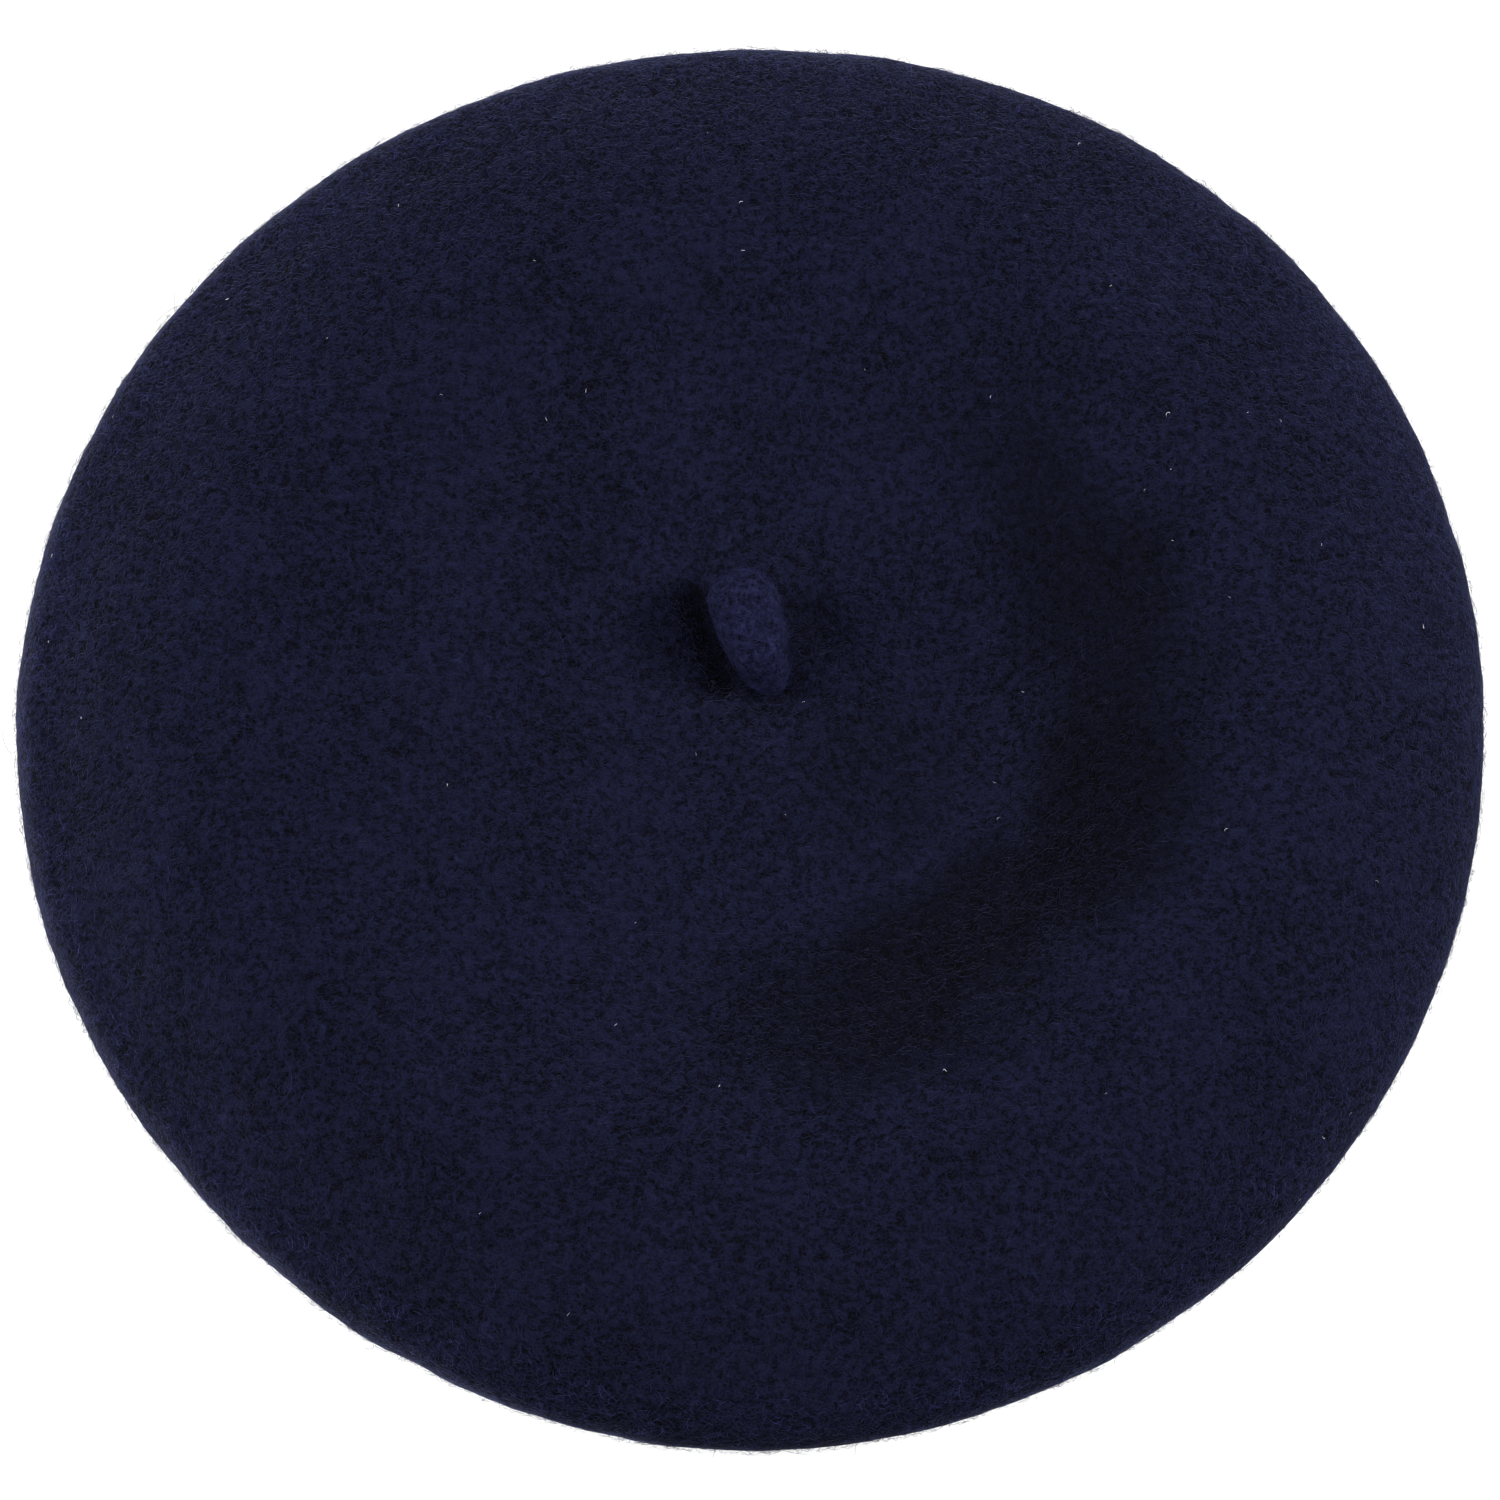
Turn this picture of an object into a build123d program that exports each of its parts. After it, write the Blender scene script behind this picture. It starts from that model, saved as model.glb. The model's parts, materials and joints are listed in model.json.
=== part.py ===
"""A round navy wool-felt beret, lying on a flat surface with its head opening down.

Millimetres. +Z is up and the surface is at z = 0. The origin is at the centre of the
circle that the beret covers. -Y is the front of the beret and +Y its back, where the ends
of the sweatband meet. The crown sags inside the sweatband, whose top edge props it up, so
a low ridge stands over the band. The stalk lies over towards the back.
"""

import os
from math import asin, cos, degrees, radians, sin

from build123d import *

# Felt body
outer_radius = 140.0  # the widest circle of the beret, 280 across
opening_radius = 85.5  # edge of the head opening in the underside
felt = 2.2  # thickness of the fulled wool
crown_height = 25.5  # top of the sagging middle of the crown
sag_radius = 46.0  # the sagging middle is nearly flat out to here
ridge_radius, ridge_height = 88.0, 33.0  # over the sweatband
shoulder_radius, shoulder_height = 126.0, 27.5  # where the crown turns down into the rim
rim_height = 14.0  # height of the widest circle
flat_radius = 118.0  # the underside lies flat out to here

# Stalk, a felt teardrop held by a thread through its root
stalk_x, stalk_y = 3.9, 5.0  # its root on the crown
stalk_azimuth = 110.0  # the way it leans, anticlockwise from +X
stalk_elevation = 22.0  # of its axis above the crown
stalk_root_radius = 2.7
stalk_tip_radius = 6.5
stalk_tip_centre = 17.0  # from the root to the middle of the round tip
root_lift = 2.8  # centre of the root above the crown
root_clearance = 0.3
thread_radius = 0.5
thread_bend = 0.9  # radius of the corners of its loop
thread_clearance = 0.05
thread_reach = 4.2  # half the distance between the two legs of the thread
knot_radius, knot_length = 0.95, 2.0

# Leather sweatband, turned up at its lower edge into a channel for the elastic
band_radius = 82.6  # its inner face
leather = 0.9
band_bottom = 0.35
band_top = 27.5
channel_gap = 1.05  # between the two walls of the channel
channel_top = 11.5
join_gap = 1.2  # between the band's two ends, at the back
elastic_thickness = 0.8
elastic_bottom, elastic_width = 2.2, 6.0

# Stitches, each lying on the face that it holds
stitch_radius = 0.3
stitch_length = 3.2
stitch_count = 120  # in each seam that runs right round
stitch_gap = 0.05  # daylight between a stitch and its face
hem_seam_height = 2.4
channel_seam_height = 10.0
join_stitch_count = 6
join_stitch_length = 4.6
join_stitch_slant = 32.0
join_stitch_pitch = 2.4
join_seam_bottom = 12.6

# Ribbon bow over the band's join
bow_height = 18.0  # of its middle
bow_y = 78.7
ribbon = 0.6
loop_width = 5.6
loop_centre, loop_radius = 10.3, 2.2  # the round end of each loop
loop_root = 3.2  # centre of its narrow end
neck_depth, neck_height = 2.0, 4.0
knot_width, knot_wall = 4.2, 0.7
tail_width, tail_length = 5.0, 13.0
tail_angle = 24.0
tail_notch = 1.8

# Labels, both blank
label_width, label_height = 46.0, 11.0
label_bottom = 13.5
label_thickness = 0.45
label_azimuth = -90.0
label_stitch_count = 5
label_stitch_length = 1.5
care_width, care_height = 18.0, 23.0
care_thickness = 0.6
care_bottom = 3.0
care_radius = 81.05
care_azimuth = 152.0


def crown_line(inset):
    """The crown from the centre out to the widest circle, this far inside the outer face."""
    return Spline(
        (0, crown_height - inset),
        (sag_radius, crown_height + 0.4 - inset),
        (ridge_radius, ridge_height - inset),
        (shoulder_radius - 0.45 * inset, shoulder_height - 0.9 * inset),
        (outer_radius - inset, rim_height),
        tangents=((1, 0), (0, -1)),
    )


def rim_line(inset):
    """The rim from the flat of the underside up to the widest circle."""
    return EllipticalCenterArc(
        (flat_radius, rim_height),
        outer_radius - flat_radius - inset,
        rim_height - inset,
        start_angle=270,
        arc_size=90,
    )


def radial_plane(azimuth):
    """A plane through the Z axis: its x runs outwards at this azimuth and its y runs up."""
    turn = radians(azimuth)
    return Plane(origin=(0, 0, 0), x_dir=(cos(turn), sin(turn), 0), z_dir=(sin(turn), -cos(turn), 0))


def finish(piece, name):
    """Labels a piece and writes its STEP file."""
    piece.part.label = name
    export_step(piece.part, f"parts/{name}.step")


os.makedirs("parts", exist_ok=True)

# Places that follow from the sizes above
crown_underside = crown_height - felt
root = Vector(stalk_x, stalk_y, crown_height + root_lift)
lean = Vector(cos(radians(stalk_azimuth)), sin(radians(stalk_azimuth)), 0)
stalk_axis = lean * cos(radians(stalk_elevation)) + Vector(0, 0, sin(radians(stalk_elevation)))
thread_axis = Vector(lean.Y, -lean.X, 0)
channel_radius = band_radius + leather  # inner wall of the channel
turn_radius = channel_radius + channel_gap  # outer wall of the channel
turn_middle = (band_radius + turn_radius + leather) / 2
turn_height = band_bottom + leather + channel_gap / 2
seam_radius = band_radius - stitch_radius - stitch_gap

with BuildPart() as felt_body:
    with BuildSketch(Plane.XZ):
        with BuildLine():
            crown_outside = crown_line(0)
            rim_outside = rim_line(0)
            Polyline(rim_outside @ 0, (0, 0), crown_outside @ 0)
        make_face()
        with BuildLine():
            crown_inside = crown_line(felt)
            rim_inside = rim_line(felt)
            Polyline(
                rim_inside @ 0,
                (opening_radius, felt),
                (opening_radius, 0),
                (0, 0),
                crown_inside @ 0,
            )
        make_face(mode=Mode.SUBTRACT)
    revolve(axis=Axis.Z)
    # A hollow that the stalk's root sits in, and a hole for each leg of its thread
    with Locations(root):
        Sphere(stalk_root_radius + root_clearance, mode=Mode.SUBTRACT)
    with BuildSketch(Plane(origin=(stalk_x, stalk_y, crown_underside - felt), x_dir=thread_axis)):
        with Locations((-thread_reach, 0), (thread_reach, 0)):
            Circle(thread_radius + thread_clearance)
    extrude(amount=3 * felt, mode=Mode.SUBTRACT)
finish(felt_body, "felt_body")

with BuildPart() as stalk:
    with BuildSketch(Plane(origin=root, x_dir=stalk_axis, z_dir=thread_axis)):
        with BuildLine():
            taper = degrees(asin((stalk_tip_radius - stalk_root_radius) / stalk_tip_centre))
            tip = CenterArc((stalk_tip_centre, 0), stalk_tip_radius, 0, 90 + taper)
            root_end = CenterArc((0, 0), stalk_root_radius, 90 + taper, 90 - taper)
            Line(tip @ 1, root_end @ 0)
            Line(root_end @ 1, tip @ 0)
        make_face()
    revolve(axis=Axis(root, stalk_axis))
    with BuildSketch(Plane(origin=root, z_dir=thread_axis)):
        Circle(thread_radius + thread_clearance)
    extrude(amount=2 * stalk_root_radius, both=True, mode=Mode.SUBTRACT)
finish(stalk, "stalk")

with BuildPart() as stalk_thread:
    # A loop through the root, down through the crown on both sides, and knotted below it
    drop = root.Z - crown_underside + knot_radius + 3 * stitch_gap
    with BuildLine(Plane(origin=root, x_dir=thread_axis, z_dir=lean * -1)) as loop:
        FilletPolyline(
            (knot_length / 4, -drop),
            (thread_reach, -drop),
            (thread_reach, 0),
            (-thread_reach, 0),
            (-thread_reach, -drop),
            (-knot_length / 4, -drop),
            radius=thread_bend,
        )
    with BuildSketch(Plane(origin=loop.line @ 0, z_dir=loop.line % 0)):
        Circle(thread_radius)
    sweep(path=loop.line)
    knot_end = root - Vector(0, 0, drop) - thread_axis * knot_length / 2
    with BuildSketch(Plane(origin=knot_end, z_dir=thread_axis)):
        Circle(knot_radius)
    extrude(amount=knot_length)
    rounded = stalk_thread.edges().filter_by(GeomType.CIRCLE)
    fillet(rounded.filter_by(lambda edge: edge.radius > 0.99 * knot_radius), radius=0.4 * knot_radius)
finish(stalk_thread, "stalk_thread")

with BuildPart() as sweatband:
    with BuildSketch(Plane.XZ):
        with BuildLine():
            Polyline((band_radius, turn_height), (band_radius, band_top), (channel_radius, band_top),
                     (channel_radius, turn_height))
            CenterArc((turn_middle, turn_height), channel_gap / 2, 180, 180)
            Polyline((turn_radius, turn_height), (turn_radius, channel_top),
                     (turn_radius + leather, channel_top), (turn_radius + leather, turn_height))
            CenterArc((turn_middle, turn_height), channel_gap / 2 + leather, 180, 180)
        make_face()
    revolve(axis=Axis.Z)
    with Locations((0, band_radius, 0)):
        Box(join_gap, 8 * leather, 3 * band_top, mode=Mode.SUBTRACT)
finish(sweatband, "sweatband")

with BuildPart() as elastic_band:
    with BuildSketch(Plane.XZ):
        with Locations((turn_middle, elastic_bottom)):
            Rectangle(elastic_thickness, elastic_width, align=(Align.CENTER, Align.MIN))
    revolve(axis=Axis.Z)
finish(elastic_band, "elastic_band")

for seam_name, seam_height in (("hem_stitches", hem_seam_height), ("channel_stitches", channel_seam_height)):
    with BuildPart(Plane.XY.offset(seam_height)) as seam:
        with PolarLocations(seam_radius, stitch_count, start_angle=180 / stitch_count):
            Cylinder(stitch_radius, stitch_length, rotation=(90, 0, 0))
    finish(seam, seam_name)

with BuildPart() as band_join_stitches:
    for number in range(join_stitch_count):
        slant = join_stitch_slant * (-1) ** number
        with Locations((0, seam_radius, join_seam_bottom + number * join_stitch_pitch)):
            Cylinder(stitch_radius, join_stitch_length, rotation=(0, 90 + slant, 0))
finish(band_join_stitches, "band_join_stitches")

with BuildPart(Plane.XY.offset(bow_height)) as bow_loops:
    with BuildSketch(Plane.XY.offset(bow_height - loop_width / 2)):
        for side in (-1, 1):
            with BuildSketch(mode=Mode.PRIVATE) as loop_outline:
                with Locations((side * loop_centre, bow_y)):
                    Circle(loop_radius)
                with Locations((side * loop_root, bow_y)):
                    Circle(neck_depth / 2)
                make_hull()
                offset(amount=-ribbon, mode=Mode.SUBTRACT)
            add(loop_outline.sketch)
    extrude(amount=loop_width)
    with Locations((0, bow_y, 0)):
        Box(2 * (loop_root - neck_depth / 2 + ribbon / 2), neck_depth, neck_height)
finish(bow_loops, "bow_loops")

with BuildPart(Plane.XY.offset(bow_height)) as bow_knot:
    knot_hole = (neck_depth + 2 * stitch_gap, neck_height + 2 * stitch_gap)
    with Locations((0, bow_y, 0)):
        Box(knot_width, knot_hole[0] + 2 * knot_wall, knot_hole[1] + 2 * knot_wall)
    fillet(bow_knot.edges().filter_by(Axis.X), radius=knot_wall)
    with Locations((0, bow_y, 0)):
        Box(2 * knot_width, *knot_hole, mode=Mode.SUBTRACT)
finish(bow_knot, "bow_knot")

with BuildPart() as bow_tails:
    tail_y = bow_y + neck_depth / 2 + knot_wall + 2 * stitch_gap + ribbon
    with BuildSketch(Plane(origin=(0, tail_y, bow_height), x_dir=(1, 0, 0), z_dir=(0, -1, 0))):
        for side in (-1, 1):
            with Locations(Location((0, 0, 0), (0, 0, side * tail_angle))):
                Polygon(
                    (-tail_width / 2, 0),
                    (-tail_width / 2, -tail_length),
                    (0, tail_notch - tail_length),
                    (tail_width / 2, -tail_length),
                    (tail_width / 2, 0),
                    align=None,
                )
    extrude(amount=ribbon)
finish(bow_tails, "bow_tails")

label_arc = degrees(label_width / band_radius)
with BuildPart() as maker_label:
    with BuildSketch(radial_plane(label_azimuth + label_arc / 2)):
        with Locations((band_radius - stitch_gap, label_bottom)):
            Rectangle(label_thickness, label_height, align=(Align.MAX, Align.MIN))
    revolve(axis=Axis.Z, revolution_arc=label_arc)
finish(maker_label, "maker_label")

with BuildPart() as label_stitches:
    label_face = band_radius - 2 * stitch_gap - label_thickness - stitch_radius
    stitch_pitch = label_height / label_stitch_count
    for side in (-1, 1):
        turn = radians(label_azimuth + side * (label_arc / 2 - 1))
        for number in range(label_stitch_count):
            height = label_bottom + (number + 0.5) * stitch_pitch
            with Locations((label_face * cos(turn), label_face * sin(turn), height)):
                Cylinder(stitch_radius, label_stitch_length)
finish(label_stitches, "label_stitches")

care_turn = radians(care_azimuth)
care_plane = Plane(
    origin=(care_radius * cos(care_turn), care_radius * sin(care_turn), care_bottom),
    x_dir=(cos(care_turn), sin(care_turn), 0),
)
with BuildPart(care_plane) as care_label:
    Box(care_thickness, care_width, care_height, align=(Align.CENTER, Align.CENTER, Align.MIN))
    fillet(care_label.edges().filter_by(Axis.Z), radius=care_thickness / 3)
finish(care_label, "care_label")
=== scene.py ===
"""Looks of a navy wool-felt beret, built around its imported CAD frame.

Metres, +Z up, -Y towards the camera. The beret lies with its head opening down. Its crown
sags inside the sweatband, deepest towards +X, and a felt stalk lies over it.

Each function under a piece's heading makes one softer, uneven piece in place of one CAD node.
The elastic keeps its CAD shape. Nothing here moves a CAD node.
"""

import json
import math

import bpy
import numpy as np
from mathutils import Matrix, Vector


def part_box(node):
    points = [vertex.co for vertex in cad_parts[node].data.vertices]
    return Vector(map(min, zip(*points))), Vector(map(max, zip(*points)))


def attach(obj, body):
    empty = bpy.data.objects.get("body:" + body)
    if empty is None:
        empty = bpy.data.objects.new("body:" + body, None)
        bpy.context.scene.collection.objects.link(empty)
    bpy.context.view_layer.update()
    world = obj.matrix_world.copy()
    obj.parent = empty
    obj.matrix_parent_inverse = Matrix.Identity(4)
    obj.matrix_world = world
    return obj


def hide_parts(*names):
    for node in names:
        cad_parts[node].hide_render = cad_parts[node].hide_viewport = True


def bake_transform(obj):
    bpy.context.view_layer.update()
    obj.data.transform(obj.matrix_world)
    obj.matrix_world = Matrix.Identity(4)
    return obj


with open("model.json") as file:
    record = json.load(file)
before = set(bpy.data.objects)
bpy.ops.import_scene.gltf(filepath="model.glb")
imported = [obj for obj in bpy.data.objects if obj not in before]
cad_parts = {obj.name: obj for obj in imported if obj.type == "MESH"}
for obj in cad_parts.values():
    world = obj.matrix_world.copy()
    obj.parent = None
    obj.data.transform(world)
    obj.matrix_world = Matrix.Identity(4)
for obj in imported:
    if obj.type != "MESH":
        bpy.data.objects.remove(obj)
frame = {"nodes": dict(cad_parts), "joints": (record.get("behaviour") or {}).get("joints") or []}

MM = 0.001
TURN = 2 * math.pi
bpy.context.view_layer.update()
FELT_LOW, FELT_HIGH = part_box("felt_body")
BAND_LOW, BAND_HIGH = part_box("sweatband")
JOINTS = {joint["name"]: joint for joint in frame["joints"]}

# Felt body: its section follows the CAD solid, and its radius and height come from it
FELT = 2.2 * MM
OUTER = (FELT_HIGH.x - FELT_LOW.x) / 2
RIDGE_HEIGHT = FELT_HIGH.z
BAND_OUTER = (BAND_HIGH.x - BAND_LOW.x) / 2
OPENING = BAND_OUTER + 0.1 * MM
CROWN_HEIGHT = RIDGE_HEIGHT - 7.6 * MM
SAG_RADIUS = 46 * MM
RIDGE_RADIUS = 88 * MM
SHOULDER = (126 * MM, RIDGE_HEIGHT - 5.6 * MM)
RIM_HEIGHT = 14 * MM
FLAT_RADIUS = 118 * MM

# Stalk: its root is where the joint is, and it leans at right angles to the joint's axis
ROOT = Vector(JOINTS["stalk_tilt"]["pos_m"])
THREAD_AXIS = Vector(JOINTS["stalk_tilt"]["axis"]).normalized()
LEAN = Vector((-THREAD_AXIS.y, THREAD_AXIS.x, 0))
STALK_ELEVATION = math.radians(22)
STALK_LENGTH = 22.8 * MM  # from the root to the end of the round tip
STALK_THICK = 6.5 * MM
STALK_THIN = 2.6 * MM
STALK_BODY = 17.0 * MM  # from the root to where the tip begins to round off
STALK_ROOT = (-1.6 * MM, 2.2 * MM)  # from its round root end to where it has its full width
STALK_SINK = 1.2 * MM  # how far its root is drawn down into the crown
STALK_AXIS = LEAN * math.cos(STALK_ELEVATION) + Vector((0, 0, math.sin(STALK_ELEVATION)))
STALK_UP = THREAD_AXIS.cross(STALK_AXIS)


# ---------------------------------------------------------------- helpers

def field(points, wavelength, seed, waves=28):
    """A smooth random field over points, about -1 to 1: plane waves of about one wavelength."""
    rng = np.random.default_rng(seed)
    directions = rng.normal(size=(waves, 3))
    directions /= np.linalg.norm(directions, axis=1)[:, None]
    numbers = TURN / (wavelength * rng.uniform(0.7, 1.4, waves))
    phases = rng.uniform(0, TURN, waves)
    total = np.cos(points @ (directions * numbers[:, None]).T + phases).sum(-1)
    return total / math.sqrt(waves)


def step(x, low, high):
    """0 below low, 1 above high, and a smooth rise between them."""
    t = np.clip((x - low) / (high - low), 0, 1)
    return t * t * (3 - 2 * t)


def spline(points, start, end, count):
    """count points along the smooth curve through points, with the directions at its two ends."""
    points = np.array(points, float)
    length = np.linalg.norm(np.diff(points, axis=0), axis=1)
    knots = np.concatenate([[0], np.cumsum(length)])
    n = len(points)
    matrix = np.zeros((n, n))
    right = np.zeros_like(points)
    matrix[0, 0] = matrix[-1, -1] = 1
    right[0], right[-1] = start, end
    for i in range(1, n - 1):
        a, b = length[i - 1], length[i]
        matrix[i, i - 1 : i + 2] = b, 2 * (a + b), a
        right[i] = 3 * (b * (points[i] - points[i - 1]) / a + a * (points[i + 1] - points[i]) / b)
    slopes = np.linalg.solve(matrix, right)
    at = np.linspace(0, knots[-1], count)
    i = np.clip(np.searchsorted(knots, at, side="right") - 1, 0, n - 2)
    h = length[i][:, None]
    t = (at[:, None] - knots[i][:, None]) / h
    return (
        (2 * t**3 - 3 * t**2 + 1) * points[i]
        + (t**3 - 2 * t**2 + t) * h * slopes[i]
        + (3 * t**2 - 2 * t**3) * points[i + 1]
        + (t**3 - t**2) * h * slopes[i + 1]
    )


def grid_faces(rows, columns, wrap_rows, wrap_columns):
    """Quads between the rows and columns of a grid of points."""
    i = np.arange(rows if wrap_rows else rows - 1)
    j = np.arange(columns if wrap_columns else columns - 1)
    i, j = np.meshgrid(i, j, indexing="ij")
    up, across = (i + 1) % rows, (j + 1) % columns
    quads = np.stack([i * columns + j, i * columns + across, up * columns + across, up * columns + j], -1)
    return quads.reshape(-1, 4)


def mesh_object(name, vertices, faces, smooth=True):
    """A mesh object in the scene, made from lists or arrays."""
    mesh = bpy.data.meshes.new(name)
    mesh.from_pydata(np.asarray(vertices).tolist(), [], [list(map(int, face)) for face in faces])
    mesh.polygons.foreach_set("use_smooth", [smooth] * len(mesh.polygons))
    mesh.update()
    made = bpy.data.objects.new(name, mesh)
    bpy.context.scene.collection.objects.link(made)
    return made


def loft(name, rings, closed=False, smooth=True):
    """A closed skin over a row of rings, an array (rings, points, 3). Its two ends are capped unless closed."""
    rings = np.asarray(rings, float)
    count, around = rings.shape[:2]
    faces = list(grid_faces(count, around, closed, True))
    if not closed:
        faces.append(list(range(around))[::-1])
        faces.append([(count - 1) * around + k for k in range(around)])
    return mesh_object(name, rings.reshape(-1, 3), faces, smooth)


def tubes(name, paths, radii, sides):
    """Many tubes at once, pointed at both ends: paths is (tubes, points, 3) and radii (tubes, points)."""
    paths, radii = np.asarray(paths, float), np.asarray(radii, float)
    count, length = paths.shape[:2]
    along = np.gradient(paths, axis=1)
    along /= np.linalg.norm(along, axis=2, keepdims=True) + 1e-12
    least = np.eye(3)[np.argmin(np.abs(along[:, length // 2]), axis=1)][:, None]
    side = np.cross(along, least)
    side /= np.linalg.norm(side, axis=2, keepdims=True) + 1e-12
    other = np.cross(along, side)
    turn = np.arange(sides) * TURN / sides
    rings = (
        paths[:, 1:-1, None]
        + radii[:, 1:-1, None, None] * side[:, 1:-1, None] * np.cos(turn)[:, None]
        + radii[:, 1:-1, None, None] * other[:, 1:-1, None] * np.sin(turn)[:, None]
    )
    middle = (length - 2) * sides
    each = middle + 2
    vertices = np.concatenate([rings.reshape(count, middle, 3), paths[:, :1], paths[:, -1:]], axis=1)
    quads = grid_faces(length - 2, sides, False, True)
    ring = np.arange(sides)
    first = np.stack([np.full(sides, middle), (ring + 1) % sides, ring], 1)
    last_ring = (length - 3) * sides + ring
    last = np.stack([np.full(sides, middle + 1), last_ring, (length - 3) * sides + (ring + 1) % sides], 1)
    offsets = (np.arange(count) * each)[:, None, None]
    faces = list((quads[None] + offsets).reshape(-1, 4))
    faces += list((first[None] + offsets).reshape(-1, 3))
    faces += list((last[None] + offsets).reshape(-1, 3))
    return mesh_object(name, vertices.reshape(-1, 3), faces)


def slab(name, middle, thickness):
    """A thin solid on both sides of a grid of points (rows, columns, 3), with square edges."""
    middle = np.asarray(middle, float)
    rows, columns = middle.shape[:2]
    normal = np.cross(np.gradient(middle, axis=0), np.gradient(middle, axis=1))
    normal /= np.linalg.norm(normal, axis=2, keepdims=True)
    front, back = middle + normal * thickness / 2, middle - normal * thickness / 2
    count = rows * columns
    quads = grid_faces(rows, columns, False, False)
    index = np.arange(count).reshape(rows, columns)
    border = list(index[0]) + list(index[1:, -1]) + list(index[-1, -2::-1]) + list(index[-2:0:-1, 0])
    after = border[1:] + border[:1]
    faces = list(quads) + list(quads[:, ::-1] + count)
    faces += [(b, a, a + count, b + count) for a, b in zip(border, after)]
    made = mesh_object(name, np.concatenate([front.reshape(-1, 3), back.reshape(-1, 3)]), faces)
    made.data.set_sharp_from_angle(angle=math.radians(50))
    return made


def rounded_section(width, thickness, steps=4):
    """A flat strip's cross-section with round edges: points (across, through) in order."""
    half, round_radius = width / 2 - thickness / 2, thickness / 2
    turn = np.linspace(-math.pi / 2, math.pi / 2, steps + 1)
    right = np.stack([half + round_radius * np.cos(turn), round_radius * np.sin(turn)], 1)
    across = np.linspace(half, -half, 6)[1:-1]
    top = np.stack([across, np.full(4, round_radius)], 1)
    return np.concatenate([right, top, -right, -top])


# ---------------------------------------------------------------- the crown's dents and its painted shade

# Dents in the crown round the stalk: how far forward of its root and beside it, their straight
# length, width and depth, and how much painted shade darkens the felt in them
DENTS = (
    (0 * MM, 0 * MM, 0 * MM, 6.5 * MM, 1.5 * MM, 0.25),  # round the root, where the thread pulls
    # the crease's painted shade stands in for the stalk's shadow along it
    (13.5 * MM, -8.0 * MM, 17 * MM, 3.3 * MM, 2.5 * MM, 0.68),  # the crease along its left side
    (9 * MM, 12 * MM, 4 * MM, 5.0 * MM, 1.3 * MM, 0.3),  # a shallow one on its right
    # the last has no dent: it is painted shade alone, on the sag's floor towards +X
    (-24.5 * MM, 14.6 * MM, 0 * MM, 17.0 * MM, 0.0 * MM, 0.22),  # no dent: the sag's floor, only darker
)

# Painted shade in an arc over the sag's steep side: a ring's centre, where it fades in and out, and the arcs
# of it that are darker, each with its direction, the cosines between which it fades in, and how much darker it
# is
SAG_TOWARDS = math.radians(-10)
PAINTED_SHADE_CENTRE = (6 * MM, 4 * MM)
PAINTED_SHADE_INSIDE = (40 * MM, 58 * MM)
PAINTED_SHADE_OUTSIDE = (67 * MM, 87 * MM)
PAINTED_SHADE_ARCS = ((-18, 0.02, 0.62, 0.50), (-48, 0.35, 0.95, 0.34))
PAINTED_SHADE_UNEVEN = 5 * MM  # how far the ring's edges wander in and out
# the colour that the painted shade darkens the felt towards
PAINTED_SHADE_COLOUR = (0.0, 0.0, 0.0, 1)


# ---------------------------------------------------------------- materials

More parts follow.
